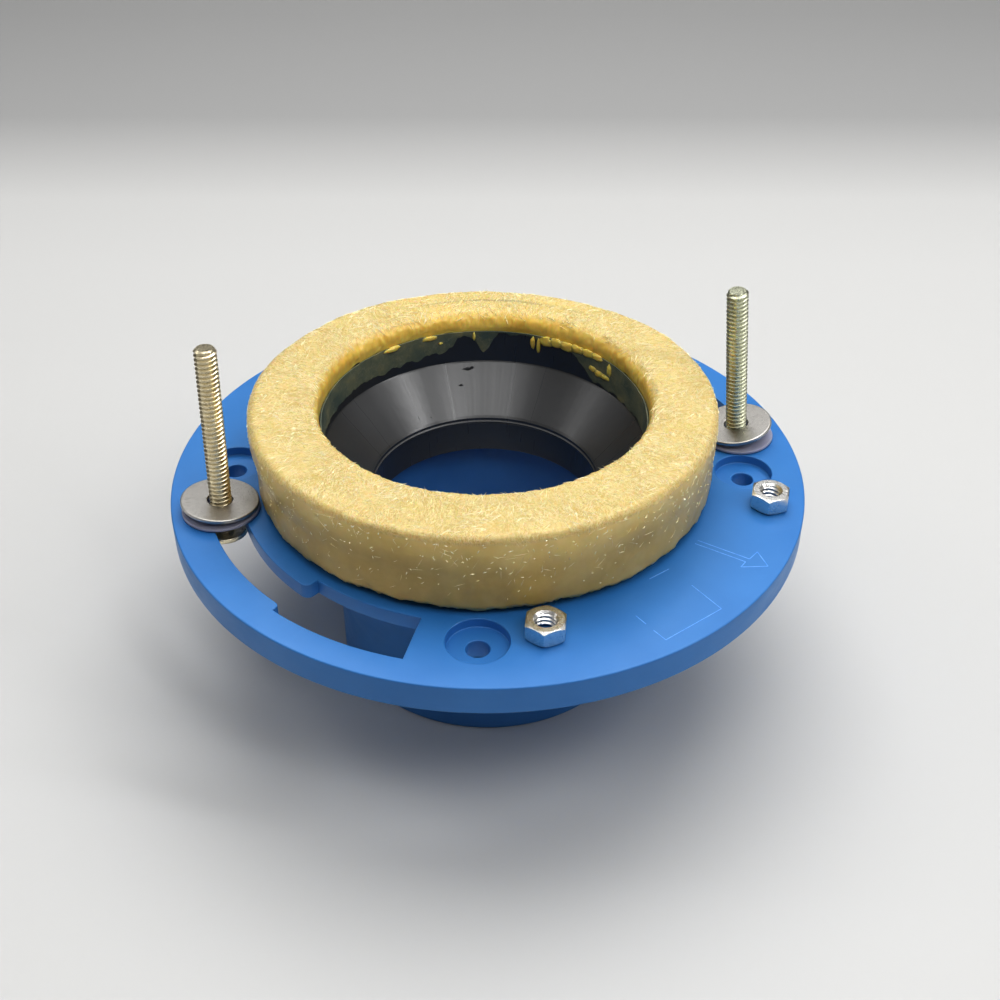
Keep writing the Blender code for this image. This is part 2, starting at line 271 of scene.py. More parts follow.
# ---------------------------------------------------------------- materials

# distance from the drain's axis at which strokes have the width they were given
STROKE_RADIUS = 56 * MM


class Nodes:
    """Short-hand for building one material's node tree."""

    def __init__(self, name):
        self.material = bpy.data.materials.new(name)
        self.material.use_nodes = True
        self.tree = self.material.node_tree
        self.shader = self.tree.nodes["Principled BSDF"]
        self.place = self.add("ShaderNodeTexCoord").outputs["Object"]

    def add(self, kind, **settings):
        node = self.tree.nodes.new(kind)
        for key, value in settings.items():
            setattr(node, key, value)
        return node

    def link(self, source, target):
        self.tree.links.new(source, target)

    def drive(self, name, source):
        """Links a value to one of the shader's sockets."""
        self.link(source, self.shader.inputs[name])

    def set(self, **values):
        for key, value in values.items():
            self.shader.inputs[key.replace("_", " ")].default_value = value

    def scaled(self, vector, scale):
        node = self.add("ShaderNodeMapping")
        node.inputs["Scale"].default_value = scale
        self.link(vector, node.inputs["Vector"])
        return node.outputs["Vector"]

    def noise(self, vector, scale, detail=3.0, rough=0.55):
        node = self.add("ShaderNodeTexNoise")
        node.inputs["Scale"].default_value = scale
        node.inputs["Detail"].default_value = detail
        node.inputs["Roughness"].default_value = rough
        self.link(vector, node.inputs["Vector"])
        return node.outputs["Fac"]

    def ramp(self, value, stops):
        """A colour ramp of (position, colour or grey) stops."""
        node = self.add("ShaderNodeValToRGB")
        elements = node.color_ramp.elements
        while len(elements) < len(stops):
            elements.new(0.5)
        for element, (position, colour) in zip(elements, stops):
            element.position = position
            if not isinstance(colour, tuple):
                colour = (colour, colour, colour)
            element.color = (*colour, 1.0)
        self.link(value, node.inputs["Fac"])
        return node.outputs["Color"]

    def math(self, operation, first, second=0.0):
        node = self.add("ShaderNodeMath", operation=operation)
        for socket, value in zip(node.inputs, (first, second)):
            if isinstance(value, (int, float)):
                socket.default_value = value
            else:
                self.link(value, socket)
        return node.outputs[0]

    def mix(self, factor, first, second):
        node = self.add("ShaderNodeMix", data_type="RGBA")
        sockets = (node.inputs[0], node.inputs[6], node.inputs[7])
        for socket, value in zip(sockets, (factor, first, second)):
            if isinstance(value, (int, float)):
                socket.default_value = value
            elif isinstance(value, tuple):
                socket.default_value = (*value, 1.0)
            else:
                self.link(value, socket)
        return node.outputs[2]

    def vector(self, operation, first, second=None, third=None):
        """A vector sum; each operand is a socket or three numbers."""
        node = self.add("ShaderNodeVectorMath", operation=operation)
        for socket, value in zip(node.inputs, (first, second, third)):
            if isinstance(value, tuple):
                socket.default_value = value
            elif value is not None:
                self.link(value, socket)
        return node.outputs["Value" if operation == "LENGTH" else "Vector"]

    def between(self, value, low, high):
        """0 where a value is below low, 1 where it is above high."""
        node = self.add("ShaderNodeMapRange")
        node.inputs["From Min"].default_value = low
        node.inputs["From Max"].default_value = high
        self.link(value, node.inputs["Value"])
        return node.outputs["Result"]

    def part(self, axis):
        """One coordinate of the object's own axes."""
        split = self.add("ShaderNodeSeparateXYZ")
        self.link(self.place, split.inputs[0])
        return split.outputs[axis]

    def height(self, low, high):
        return self.between(self.part("Z"), low, high)

    def from_axis(self, vector, centre):
        """The level way to a point from an upright axis."""
        return self.vector("MULTIPLY", self.vector("SUBTRACT", vector, centre), (1, 1, 0))

    def reach(self, centre, near, far):
        """0 within one distance of an upright axis, 1 beyond another."""
        length = self.vector("LENGTH", self.from_axis(self.place, centre))
        return self.between(length, near, far)

    def warped(self, scale, amount):
        """Places pushed about by a soft noise."""
        warp = self.add("ShaderNodeTexNoise")
        warp.inputs["Scale"].default_value = scale
        self.link(self.place, warp.inputs["Vector"])
        return self.vector("MULTIPLY_ADD", warp.outputs["Color"], amount, self.place)

    def bump(self, height, distance, strength=1.0, before=None):
        node = self.add("ShaderNodeBump")
        node.inputs["Distance"].default_value = distance
        node.inputs["Strength"].default_value = strength
        self.link(height, node.inputs["Height"])
        if before:
            self.link(before, node.inputs["Normal"])
        self.link(node.outputs["Normal"], self.shader.inputs["Normal"])
        return node.outputs["Normal"]

    def strokes(self, centre, length, width, wander):
        """Fine strokes that run outwards from an upright axis, wandering a little."""
        flat = self.from_axis(self.warped(110, (wander, wander, 0)), centre)
        across = STROKE_RADIUS / width
        wide = self.vector("MULTIPLY", self.vector("NORMALIZE", flat), (across, across, across))
        slant = self.math("SUBTRACT", self.vector("LENGTH", flat), self.part("Z"))
        stretch = self.add("ShaderNodeCombineXYZ")
        self.link(self.math("DIVIDE", slant, length), stretch.inputs["Z"])
        return self.noise(self.vector("ADD", wide, stretch.outputs[0]), 1.0, detail=2.5, rough=0.6)

    def streaks(self, cell, length, width, seed):
        """Patches of short parallel strokes, each patch at an angle of its own."""
        push = self.warped(0.7 / cell, (cell, cell, cell))
        cells = self.add("ShaderNodeTexVoronoi", feature="F1")
        cells.inputs["Scale"].default_value = 1 / cell
        self.link(self.vector("ADD", push, (seed, seed * 0.7, seed * 0.3)), cells.inputs["Vector"])
        split = self.add("ShaderNodeSeparateColor")
        self.link(cells.outputs["Color"], split.inputs[0])
        turn = self.add("ShaderNodeVectorRotate", rotation_type="AXIS_ANGLE")
        turn.inputs["Axis"].default_value = (0, 0, 1)
        self.link(self.math("MULTIPLY", split.outputs[0], TAU), turn.inputs["Angle"])
        self.link(push, turn.inputs["Vector"])
        stretched = self.scaled(turn.outputs[0], (1 / length, 1 / width, 1 / width))
        return self.noise(stretched, 1.0, detail=2.0, rough=0.6)


def blue_plastic():
    """Injection-moulded blue plastic: semi-gloss, faint flow marks and fine scuffs."""
    n = Nodes("blue_plastic")
    n.set(Specular_IOR_Level=0.5)
    flow = n.noise(n.place, 45, 4)
    colour = n.ramp(flow, [(0.3, (0.036, 0.190, 0.485)), (0.7, (0.048, 0.218, 0.53))])
    pale = n.ramp(n.noise(n.place, 2100, 1), [(0.80, 0.0), (0.84, 0.35)])
    n.drive("Base Color", n.mix(pale, colour, (0.40, 0.55, 0.78)))
    smears = n.noise(n.scaled(n.place, (1, 1, 3)), 70, 5, 0.65)
    n.drive("Roughness", n.ramp(smears, [(0.3, 0.30), (0.72, 0.46)]))
    scuffs = n.streaks(12 * MM, 6 * MM, 0.12 * MM, 4.2)
    first = n.bump(scuffs, 0.012 * MM, 0.3)
    n.bump(n.noise(n.place, 1100, 2), 0.008 * MM, 0.3, before=first)
    return n.material


def black_plastic():
    """Satin black polyethylene with faint drawn streaks down the cone."""
    n = Nodes("black_plastic")
    n.set(Specular_IOR_Level=1.0)
    soft = n.noise(n.place, 45, 4)
    # Painted sheen, in part: the plastic's own near-black is lifted a little, standing in for the grey
    # reflection on the cone.
    n.drive("Base Color", n.ramp(soft, [(0.3, (0.030, 0.032, 0.036)), (0.75, (0.044, 0.046, 0.050))]))
    centre = (SEAL_CENTRE.x, SEAL_CENTRE.y, 0)
    drawn = n.strokes(centre, 14 * MM, 1.1 * MM, 1.0 * MM)
    n.drive("Roughness", n.ramp(drawn, [(0.3, 0.27), (0.7, 0.34)]))
    first = n.bump(n.noise(n.place, 120, 3), 0.25 * MM, 0.35)
    n.bump(drawn, 0.012 * MM, 0.4, before=first)
    return n.material


# The second colour is a painted glint: the pale colour of the threads on the wax's top.
WAX_GOLD, WAX_THREAD_GLINT = (0.63, 0.505, 0.222), (0.82, 0.725, 0.43)


def wax_material():
    """Amber wax: felted with fine strokes on top, smoother and scratched on its sides."""
    n = Nodes("amber_wax")
    n.set(Subsurface_Weight=0.45, Subsurface_Radius=(1.0, 0.5, 0.16), Subsurface_Scale=0.003,
          Specular_IOR_Level=0.5)
    on_top = n.height(PLATE_TOP + WAX_TOP - 2.6 * MM, PLATE_TOP + WAX_TOP - 0.8 * MM)
    centre = (SEAL_CENTRE.x, SEAL_CENTRE.y, 0)
    radial = n.strokes(centre, 4.5 * MM, 0.8 * MM, 8 * MM)
    coarse = n.streaks(9 * MM, 5.0 * MM, 0.85 * MM, 0.4)
    fine = n.streaks(5 * MM, 3.0 * MM, 0.5 * MM, 3.1)
    felt = n.math("ADD", n.math("MULTIPLY", radial, 0.34), n.math("MULTIPLY", coarse, 0.38))
    felt = n.math("ADD", felt, n.math("MULTIPLY", fine, 0.28))
    thread = [(0.44, 0.0), (0.50, 1.0), (0.56, 0.0)]
    threads = n.math("MAXIMUM", n.ramp(coarse, thread), n.ramp(radial, thread))
    threads = n.math("MAXIMUM", threads, n.math("MULTIPLY", n.ramp(fine, thread), 0.4))
    cloudy = n.noise(n.place, 75, 5, 0.6)
    # Painted shade: the sides are painted darker and browner than the top, lightening to gold near their
    # upper edge, standing in for the shade low on the ring's side.
    side = n.ramp(cloudy, [(0.25, (0.47, 0.325, 0.105)), (0.5, (0.58, 0.415, 0.145)),
                           (0.8, (0.68, 0.51, 0.20))])
    gold = n.ramp(cloudy, [(0.25, (0.78, 0.57, 0.18)), (0.8, (0.90, 0.72, 0.31))])
    side = n.mix(n.height(PLATE_TOP + 14 * MM, PLATE_TOP + WAX_TOP - 1.5 * MM), side, gold)
    # Painted glow: the lip inside the ring is painted a brighter, more saturated gold, standing in for
    # light shining through the wax.
    lip = n.ramp(cloudy, [(0.25, (0.74, 0.50, 0.10)), (0.8, (0.92, 0.70, 0.20))])
    body = n.ramp(cloudy, [(0.25, (0.62, 0.485, 0.20)), (0.5, WAX_GOLD), (0.8, (0.68, 0.565, 0.26))])
    # Painted glints: the threads on top are painted paler than the wax around them.
    stroke = n.ramp(threads, [(0.10, (0.53, 0.385, 0.135)), (0.45, (0.66, 0.53, 0.235)), (0.85, WAX_THREAD_GLINT)])
    patchy = n.ramp(n.noise(n.place, 110, 4, 0.6), [(0.38, 0.35), (0.58, 1.0)])
    top = n.mix(n.math("MULTIPLY", patchy, 0.60), body, stroke)
    # The inner lip takes the painted glow, the outer side the painted shade.
    below = n.mix(n.reach(centre, 52 * MM, 60 * MM), lip, side)
    n.drive("Base Color", n.mix(on_top, below, top))
    glossy = n.ramp(felt, [(0.42, 0.34), (0.58, 0.20)])
    n.drive("Roughness", n.mix(on_top, (0.30, 0.30, 0.30), glossy))
    strength = n.math("MULTIPLY", on_top, patchy)
    relief = n.math("MULTIPLY", n.math("SUBTRACT", felt, 0.5), 2.5)
    relief = n.math("MULTIPLY", n.math("ADD", relief, threads), strength)
    first = n.bump(n.noise(n.place, 150, 3, 0.5), 0.22 * MM, 0.5)
    n.bump(relief, 0.24 * MM, 0.5, before=first)
    return n.material


def stroke_material():
    """The shinier crystal strokes and scraped slivers on the wax: paler than the wax, and lifted to
    near-white as painted glints.
    """
    n = Nodes("wax_strokes")
    n.set(Specular_IOR_Level=0.9)
    cloudy = n.noise(n.place, 160, 4, 0.6)
    # Painted glints: a pale gold lifted to near-white.
    n.drive("Base Color", n.ramp(cloudy, [(0.35, (0.92, 0.78, 0.40)), (0.65, (1.0, 0.96, 0.72))]))
    n.drive("Roughness", n.ramp(n.noise(n.place, 900, 2), [(0.3, 0.14), (0.7, 0.30)]))
    return n.material


def film_material():
    """Thin wax smeared over the black collar: greenish grey with pale veins."""
    n = Nodes("wax_film")
    n.set(Roughness=0.36, Specular_IOR_Level=0.5, Subsurface_Weight=0.1,
          Subsurface_Radius=(1.0, 0.8, 0.4), Subsurface_Scale=0.001)
    patches = n.noise(n.place, 110, 5, 0.6)
    body = n.ramp(patches, [(0.35, (0.10, 0.135, 0.115)), (0.55, (0.19, 0.205, 0.14)),
                            (0.72, (0.34, 0.31, 0.16))])
    veins = n.ramp(n.noise(n.place, 190, 3, 0.6), [(0.48, 0.0), (0.50, 0.7), (0.52, 0.0)])
    n.drive("Base Color", n.mix(veins, body, (0.24, 0.25, 0.18)))
    n.bump(n.noise(n.place, 500, 4, 0.65), 0.2 * MM, 0.6)
    return n.material


def plated_steel(name, bright, dark, roughness, grime=0.35):
    """Plated steel with fine scratches and slight mottling; grime sets how strongly the darker mottle
    shows.
    """
    n = Nodes(name)
    n.set(Metallic=1.0)
    mottle = n.noise(n.place, 650, 5, 0.65)
    colour = n.ramp(mottle, [(0.28, dark), (0.62, bright)])
    n.drive("Base Color", n.mix(grime, bright, colour))
    scratches = n.streaks(7 * MM, 5 * MM, 0.09 * MM, 1.3)
    n.drive("Roughness", n.ramp(scratches, [(0.35, roughness - 0.07), (0.7, roughness + 0.12)]))
    n.bump(scratches, 0.03 * MM, 0.5)
    return n.material


def clear_plastic():
    """Milky translucent polyethylene, its pale colour painted a lavender blue that stands in for the blue
    plate's light showing through it.
    """
    n = Nodes("milky_plastic")
    n.set(Transmission_Weight=0.45, IOR=1.45)
    cloudy = n.noise(n.place, 300, 3)
    # Painted light: the milky colour is tinted lavender blue for the plate's light seen through it.
    n.drive("Base Color", n.ramp(cloudy, [(0.3, (0.56, 0.57, 0.72)), (0.7, (0.66, 0.66, 0.80))]))
    n.drive("Roughness", n.ramp(n.noise(n.place, 900, 2), [(0.3, 0.30), (0.7, 0.42)]))
    return n.material


def raised_plastic():
    """The flange's plastic for the moulded lines, painted a lighter blue as a painted highlight where they
    catch the light.
    """
    n = Nodes("blue_plastic_lines")
    n.set(Specular_IOR_Level=0.5, Roughness=0.4)
    # Painted highlight: a lighter, uneven blue for the light caught by the raised lines.
    uneven_highlight = n.noise(n.place, 500, 3)
    n.drive("Base Color", n.ramp(uneven_highlight, [(0.35, (0.085, 0.30, 0.72)), (0.65, (0.17, 0.41, 0.82))]))
    return n.material


# ---------------------------------------------------------------- flange

def slot_outline():
    """The left keyhole slot: a narrow arc with a round end, then a wide arc."""
    middle = sum(SLOT_NARROW) / 2
    end_radius = (SLOT_NARROW[1] - SLOT_NARROW[0]) / 2

    def along(radius, start, end):
        steps = round(abs(end - start) / 1.9)
        return [(x, y, 0) for x, y in arc((0, 0), radius, start, end, steps)]

    round_end = arc(polar(middle, SLOT_START), end_radius, SLOT_START + 180, SLOT_START + 360, 16)
    corners = along(SLOT_NARROW[0], SLOT_STEP, SLOT_START)[:-1]
    corners += [(x, y, 0) for x, y in round_end]
    corners += along(SLOT_NARROW[1], SLOT_START, SLOT_STEP)[1:-1]
    corners.append((*polar(SLOT_NARROW[1], SLOT_STEP), 1.6 * MM))
    corners += along(SLOT_WIDE[1], SLOT_STEP, SLOT_END)
    corners += along(SLOT_WIDE[0], SLOT_END, SLOT_STEP)
    corners[0] = (corners[0][0], corners[0][1], 2.0 * MM)
    return rounded(corners)


def flared(outline, low, top, radius):
    """Levels of a cutter that leaves a rounded rim at the top and reaches down to low."""
    levels = [(outline, low)]
    for k in range(4):
        rise = radius * k / 3
        spread = radius - math.sqrt(max(0.0, radius * radius - rise * rise))
        levels.append((offset(outline, spread), top - radius + rise))
    levels.append((offset(outline, radius), top + 2 * MM))
    return levels


def flange_profile():
    r = EDGE_ROUND
    web = PLATE_TOP - WEB_THICKNESS
    skirt_inner = PLATE_RADIUS - SKIRT_WALL
    return rounded([
        (LEAD_IN_RADIUS, PLATE_TOP, 0.4 * MM),
        (PLATE_RADIUS, PLATE_TOP, r),
        (PLATE_RADIUS, PLATE_TOP - SKIRT_DEPTH, r),
        (skirt_inner, PLATE_TOP - SKIRT_DEPTH, r),
        (skirt_inner, web, 0.8 * MM),
        (HUB_RADIUS, web, 1.6 * MM),
        (HUB_RADIUS, 0, 0.8 * MM),
        (BORE_RADIUS, 0, 0.6 * MM),
        (BORE_RADIUS, PLATE_TOP - LEAD_IN_DEPTH, 0.8 * MM),
    ])


def make_flange(material):
    flange = new_piece("flange_moulding", turned(flange_profile(), 192), material, weighted=False)
    steps = []
    inner, outer = HUB_RADIUS - 1 * MM, PLATE_RADIUS - SKIRT_WALL + 1 * MM
    half = RIB_THICKNESS / 2
    low, high = PLATE_TOP - SKIRT_DEPTH + 0.6 * MM, PLATE_TOP - WEB_THICKNESS + 1 * MM
    foot, top = [
        [(inner, -side), (outer, -side), (outer, side), (inner, side)] for side in (half * RIB_TAPER, half)
    ]
    for azimuth in RIB_AZIMUTHS:
        bm = lofted([(foot, low), (top, high)])
        bmesh.ops.rotate(bm, verts=bm.verts, matrix=Matrix.Rotation(math.radians(azimuth), 3, "Z"))
        steps.append(("UNION", bm))
    low = PLATE_TOP - SKIRT_DEPTH + BOSS_RELIEF
    profile = [(BOSS_RADIUS - 0.4 * MM, low), (BOSS_RADIUS, low + 0.4 * MM), (BOSS_RADIUS, high)]
    centres = [(*polar(HOLE_PITCH_RADIUS, azimuth), 0) for azimuth in HOLE_AZIMUTHS]
    steps += [("UNION", turned(profile, 64, closed=False, centre=centre)) for centre in centres]
    outline = slot_outline()
    for turn in (0, math.pi):
        bm = lofted(flared(outline, PLATE_TOP - 2 * SKIRT_DEPTH, PLATE_TOP, RIM_ROUND))
        bmesh.ops.rotate(bm, verts=bm.verts, matrix=Matrix.Rotation(turn, 3, "Z"))
        steps.append(("DIFFERENCE", bm))
    floor, rim = PLATE_TOP - COUNTERBORE_DEPTH, RIM_ROUND
    profile = [(HOLE_RADIUS, PLATE_TOP - 2 * SKIRT_DEPTH)]
    profile += arc((HOLE_RADIUS + rim, floor - rim), rim, 180, 90, 4)
    profile += arc((COUNTERBORE_RADIUS - rim, floor + rim), rim, -90, 0, 4)
    profile += arc((COUNTERBORE_RADIUS + rim, PLATE_TOP - rim), rim, 180, 90, 4)
    profile.append((COUNTERBORE_RADIUS + rim, PLATE_TOP + 2 * MM))
    steps += [("DIFFERENCE", turned(profile, 64, closed=False, centre=centre)) for centre in centres]
    carve(flange, steps)
    finish_shading(flange)
    settle(flange, "flange", "flange_body")


def add_bead(bm, path, width, height):
    """A low half-round bead on the plate along an open path of (x, y) points."""
    sections = []
    for i, point in enumerate(path):
        here = Vector(point)
        ahead = Vector(path[min(i + 1, len(path) - 1)]) - Vector(path[max(i - 1, 0)])
        side = Vector((-ahead.y, ahead.x)).normalized()
        ring = []
        for k in range(5):
            angle = math.pi * k / 4
            across = here + side * math.cos(angle) * width / 2
            lift = math.sin(angle) * height - 0.05 * MM
            ring.append(bm.verts.new((across.x, across.y, PLATE_TOP + lift)))
        sections.append(ring)
    add_skin(bm, sections)


# (x, y) ends, in mm, of the lines that a mould insert left on the plate
INSERT_LINES = [
    ((52.3, -51.8), (58.7, -60.8)), ((58.7, -60.8), (43.7, -72.2)), ((43.7, -72.2), (41.0, -68.7)),
    ((39.4, -66.5), (37.1, -63.4)), ((41.7, -49.3), (47.1, -45.3)),
]


# The arrow's direction, and its outline in mm outwards and across
ARROW_AZIMUTH = 328.4
ARROW = [(65.2, -0.8), (79.6, -0.8), (79.4, -3.4), (85.3, 0.6), (80.6, 4.6), (80.0, 0.8), (65.2, 0.8)]
LINE_WIDTH, LINE_HEIGHT = 0.34 * MM, 0.12 * MM


def make_mould_marks(material):
    """Faint raised lines on the plate: an arrow towards the rim and an insert's outline."""
    bm = bmesh.new()
    outward = Vector(polar(1.0, ARROW_AZIMUTH))
    across = Vector((-outward.y, outward.x))
    arrow = [outward * u + across * v for u, v in ARROW]
    for start, end in [*zip(arrow, arrow[1:]), *INSERT_LINES]:
        path = [tuple(Vector(point) * MM) for point in (start, end)]
        add_bead(bm, path, LINE_WIDTH, LINE_HEIGHT)
    marks = new_piece("mould_marks", bm, material)
    settle(marks, "flange")


# ---------------------------------------------------------------- seal

def horn_profile():
    """Collar, cone, throat bead and tail, with the disc that the wax holds."""
    w = HORN_WALL
    drop = COLLAR_RADIUS - THROAT_RADIUS
    cone_outside = COLLAR_RADIUS + w * math.sqrt(2)
    collar_outside = COLLAR_RADIUS + w - 0.2 * MM
    tail_outside = THROAT_RADIUS + w
    shoulder = CONE_TOP - (cone_outside - tail_outside)
    throat = CONE_TOP - drop
    return rounded([
        (COLLAR_RADIUS, COLLAR_TOP, 0.4 * MM),
        (collar_outside, COLLAR_TOP, 0.4 * MM),
        (collar_outside, CONE_TOP + w, 0.3 * MM),
        (DISC_RADIUS, CONE_TOP + w, 0.5 * MM),
        (DISC_RADIUS, CONE_TOP, 0.5 * MM),
        (cone_outside, CONE_TOP, 0.3 * MM),
        (tail_outside, shoulder, 1.0 * MM),
        (tail_outside, -TAIL, 0.5 * MM),
        (THROAT_RADIUS + 0.1 * MM, -TAIL, 0.5 * MM),
        (THROAT_RADIUS + 0.1 * MM, throat - 1.5 * MM, 0.3 * MM),
        (THROAT_RADIUS - 0.12 * MM, throat - 1.2 * MM, 0.12 * MM),
        (THROAT_RADIUS - 0.12 * MM, throat - 0.8 * MM, 0.12 * MM),
        (THROAT_RADIUS + 0.35 * MM, throat - 0.5 * MM, 0.1 * MM),
        (THROAT_RADIUS + 0.35 * MM, throat + 0.25 * MM, 0.15 * MM),
        (THROAT_RADIUS + 0.9 * MM, throat + 0.9 * MM, 0.3 * MM),
        (COLLAR_RADIUS - 0.3 * MM, CONE_TOP - 0.3 * MM, 0.25 * MM),
        (COLLAR_RADIUS, CONE_TOP + 0.1 * MM, 0.2 * MM),
    ], segments=3)


def make_horn(material):
    horn = new_piece("horn", turned(horn_profile(), 192, centre=SEAL_CENTRE), material)
    settle(horn, "seal", "horn_sleeve")


WAX_SIDE = 63.75 * MM
WAX_FOOT = 57.0 * MM
LIP_RADIUS = 45.6 * MM
LIP_FOOT, LIP_REACH = 19.5 * MM, 46.5 * MM


def wax_profile(azimuth):
    """(radius, height above the plate, roughness of the surface) round the wax.

    Its edges are crisp in front and soften towards the back, where the top sinks a little.
    """
    back = (1 + math.sin(math.radians(azimuth))) / 2
    top_round = (1.7 + 2.1 * back) * MM
    lip_round = (1.6 + 3.0 * back) * MM
    top = WAX_TOP - 1.1 * MM * back ** 2
    gap = 0.3 * MM
    collar = COLLAR_RADIUS + HORN_WALL - 0.2 * MM + gap
    cone = COLLAR_RADIUS + HORN_WALL * math.sqrt(2) - CONE_TOP + gap * math.sqrt(2)
    low, high = CONE_TOP - gap, CONE_TOP + HORN_WALL + gap
    points = [(cone + low, low, 0)]

    def run(end, count, rough):
        start = points[-1]
        for k in range(1, count + 1):
            t = k / count
            points.append((start[0] + (end[0] - start[0]) * t, start[1] + (end[1] - start[1]) * t, rough))

    run((cone + gap, gap), 1, 0.0)
    run((WAX_FOOT, gap), 6, 0.0)
    run((WAX_FOOT + 1.6 * MM, 1.5 * MM), 3, 0.2)
    run((WAX_SIDE - 0.8 * MM, 2.1 * MM), 7, 0.4)
    run((WAX_SIDE, 3.2 * MM), 3, 0.7)
    run((WAX_SIDE, top - top_round), 30, 1.0)
    for x, y in arc((WAX_SIDE - top_round, top - top_round), top_round, 0, 90, 8)[1:]:
        points.append((x, y, 1.0))
    run((LIP_RADIUS + lip_round, top), 30, 1.0)
    for x, y in arc((LIP_RADIUS + lip_round, top - lip_round), lip_round, 90, 180, 13)[1:]:
        points.append((x, y, 0.8))
    run((LIP_RADIUS + 0.1 * MM, COLLAR_TOP), 4, 1.0)
    run((collar, COLLAR_TOP + gap), 1, 0.0)
    run((collar, high), 4, 0.0)
    run((DISC_RADIUS + gap, high), 3, 0.0)
    run((DISC_RADIUS + gap, low), 1, 0.0)
    run((cone + low, low), 3, 0.0)
    return points[:-1]


def wax_swell(point):
    """How far the wax stands out from its turned shape, along its normal."""
    broad = noise.noise(point * 45) * 0.30 * MM
    lumpy = noise.noise(point * 170 + Vector((3, 1, 7))) * 0.22 * MM
    fine = noise.noise(point * 620 + Vector((5, 9, 2))) * 0.07 * MM
    return broad + lumpy + fine


def wax_lean(azimuth, height):
    """The ring is a little fuller to the left and right near its top, and flatter behind."""
    rise = min(max((height - 12 * MM) / (6 * MM), 0.0), 1.0)
    left = max(0.0, -math.cos(math.radians(azimuth)))
    behind = max(0.0, math.sin(math.radians(azimuth))) ** 2
    return rise * (0.35 + 0.75 * left) * MM - 1.3 * MM * behind * rise


def make_wax_ring(material):
    steps = 640
    bm = bmesh.new()
    sections = []
    for j in range(steps):
        azimuth = 360 * j / steps
        profile = wax_profile(azimuth)
        section = []
        for i, (radius, height, rough) in enumerate(profile):
            x, y = polar(radius, azimuth)
            point = Vector((x, y, height))
            out, up = 0.0, 0.0
            if rough:
                ahead = Vector(profile[(i + 1) % len(profile)][:2]) - Vector(profile[i - 1][:2])
                normal = Vector((ahead.y, -ahead.x)).normalized()
                shift = wax_swell(point) * rough
                out, up = normal.x * shift, normal.y * shift
                if height < 4 * MM and radius > WAX_FOOT:  # the torn foot
                    flat = Vector((x, y, 0))
                    ragged = noise.noise(flat * 85)
                    ragged += 0.5 * noise.noise(flat * 340)
                    ragged += 0.4 * noise.noise(flat * 900)
                    up += 1.3 * MM * ragged * min(1.0, (radius - WAX_FOOT) / (4 * MM))
                if radius < LIP_REACH and height < LIP_FOOT:  # its edge on the collar
                    up += 0.7 * MM * noise.noise(Vector((x, y, 5)) * 330)
                if radius > 55 * MM:  # the outer side
                    out += wax_lean(azimuth, height)
                if radius < 50 * MM and height > LIP_FOOT:  # the lip
                    inner = noise.noise(Vector((x, y, 9)) * 420) + noise.noise(Vector((x, y, 3)) * 1100)
                    out += 0.30 * MM * inner
            x, y = polar(radius + out, azimuth)
            z = min(max(height + up, 0.15 * MM), WAX_TOP + 0.9 * MM)
            section.append(bm.verts.new((SEAL_CENTRE.x + x, SEAL_CENTRE.y + y, PLATE_TOP + z)))
        sections.append(section)
    for here, ahead in zip(sections, sections[1:] + sections[:1]):
        for i in range(len(here)):
            j = (i + 1) % len(here)
            bm.faces.new((here[i], ahead[i], ahead[j], here[j]))
    wax = new_piece("wax_seal", bm, material, sharp=70, weighted=False)
    settle(wax, "seal", "wax_ring")
    return wax


def add_sliver(bm, place, along, normal, length, width, height):
    """A thin raised stroke: a low tent on a surface, its foot sunk a little into it."""
    side = normal.cross(along).normalized() * width / 2
    sunk = place - normal * 0.06 * MM
    reach = along * length / 2
    foot = [bm.verts.new(corner) for corner in (sunk - reach, sunk - side, sunk + reach, sunk + side)]
    crest = bm.verts.new(place + normal * height)
    bm.faces.new(foot)
    for i in range(4):
        bm.faces.new((foot[i], foot[(i + 1) % 4], crest))


TOP_STROKES, SIDE_SCRATCHES, CHIPS = 2600, 420, 700


